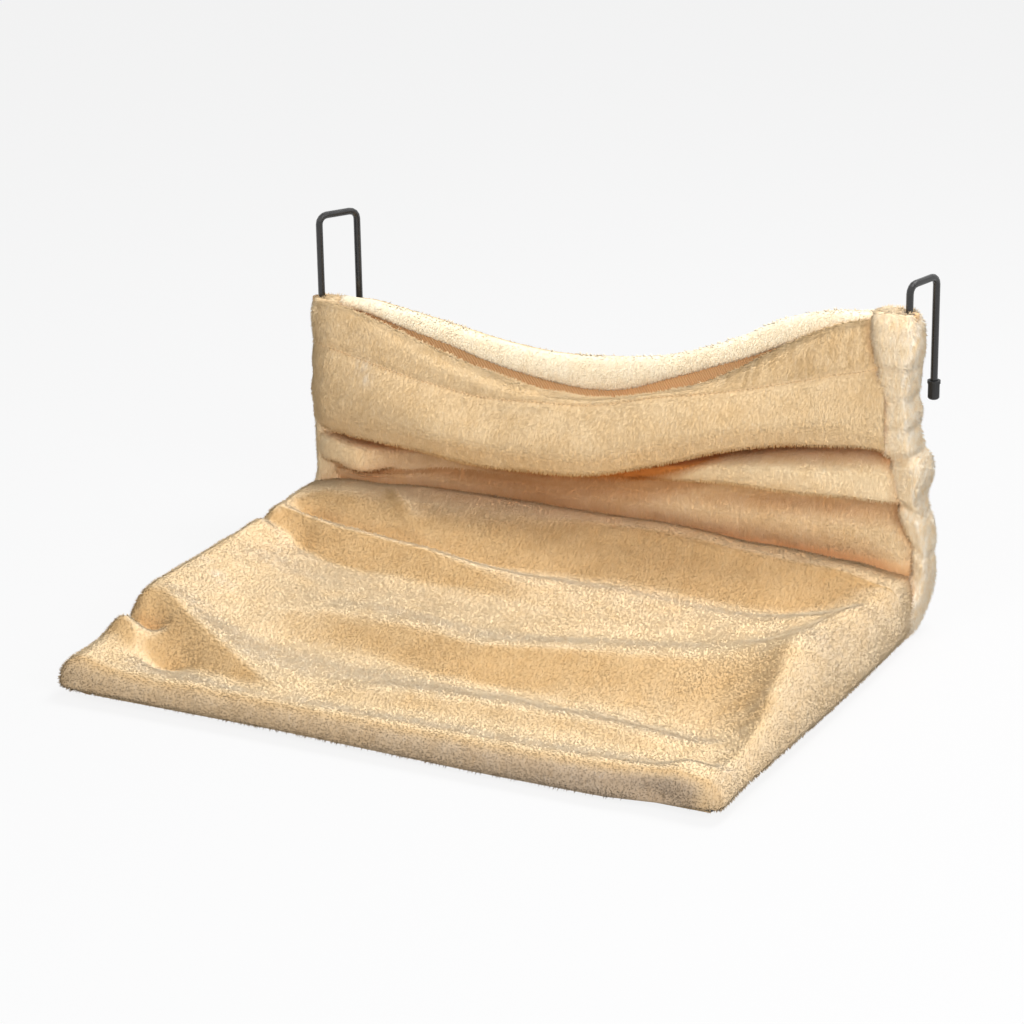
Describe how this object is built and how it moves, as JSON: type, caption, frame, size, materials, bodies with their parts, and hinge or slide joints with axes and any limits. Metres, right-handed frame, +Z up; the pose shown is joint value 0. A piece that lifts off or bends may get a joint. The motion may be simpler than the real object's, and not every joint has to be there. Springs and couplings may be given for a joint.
{
  "type": "radiator cat bed",
  "caption": "Plush cat bed that hangs on a radiator: a sewn cover over an L-shaped tube frame, with a seat, a low back and swivelling wire hooks.",
  "frame": {"origin": "on the floor under the middle of the whole bed, hooks included", "axes": "+X to the right-hand side seen from the front, +Y towards the radiator, +Z up"},
  "size_m": [0.4679, 0.3772, 0.2399],
  "materials": {
    "cream_plush": "short-pile cream plush, brushed, matt",
    "hem_fleece": "curly pale fleece, matt",
    "black_steel": "gloss black paint",
    "zinc_plate": "zinc-plated steel",
    "black_rubber": "matt black rubber",
    "black_plastic": "matt black plastic"
  },
  "bodies": {
    "bed": {"cover_back_panel": "cream_plush", "cover_seat_panel": "cream_plush", "cover_front_edge": "cream_plush", "cover_under_panel": "cream_plush", "cover_rear_panel": "cream_plush", "cover_rear_hem": "hem_fleece", "cover_left_seat_channel": "cream_plush", "cover_right_seat_channel": "cream_plush", "cover_left_back_channel": "cream_plush", "cover_right_back_channel": "cream_plush", "left_side_tube": "black_steel", "right_side_tube": "black_steel", "front_crossbar": "black_steel", "rear_crossbar": "black_steel", "front_left_insert": "zinc_plate", "front_right_insert": "zinc_plate", "rear_left_insert": "zinc_plate", "rear_right_insert": "zinc_plate", "front_left_screw": "zinc_plate", "front_right_screw": "zinc_plate", "rear_left_screw": "zinc_plate", "rear_right_screw": "zinc_plate", "left_tube_plug": "black_plastic", "right_tube_plug": "black_plastic", "left_hook_insert": "zinc_plate", "right_hook_insert": "zinc_plate", "left_lock_nut": "zinc_plate", "right_lock_nut": "zinc_plate"},
    "left_hook_arm": {"left_hook": "black_steel", "left_hook_cap": "black_rubber"},
    "right_hook_arm": {"right_hook": "black_steel", "right_hook_cap": "black_rubber"}
  },
  "joints": [
    {"name": "left_hook_swivel", "type": "hinge", "parent": "bed", "child": "left_hook_arm", "pos_m": [-0.22, 0.15548, 0.2], "axis": [0, 0, 1], "range_deg": [-16, 84]},
    {"name": "right_hook_swivel", "type": "hinge", "parent": "bed", "child": "right_hook_arm", "pos_m": [0.22, 0.15548, 0.2], "axis": [0, 0, 1], "range_deg": [-34, 66]}
  ]
}
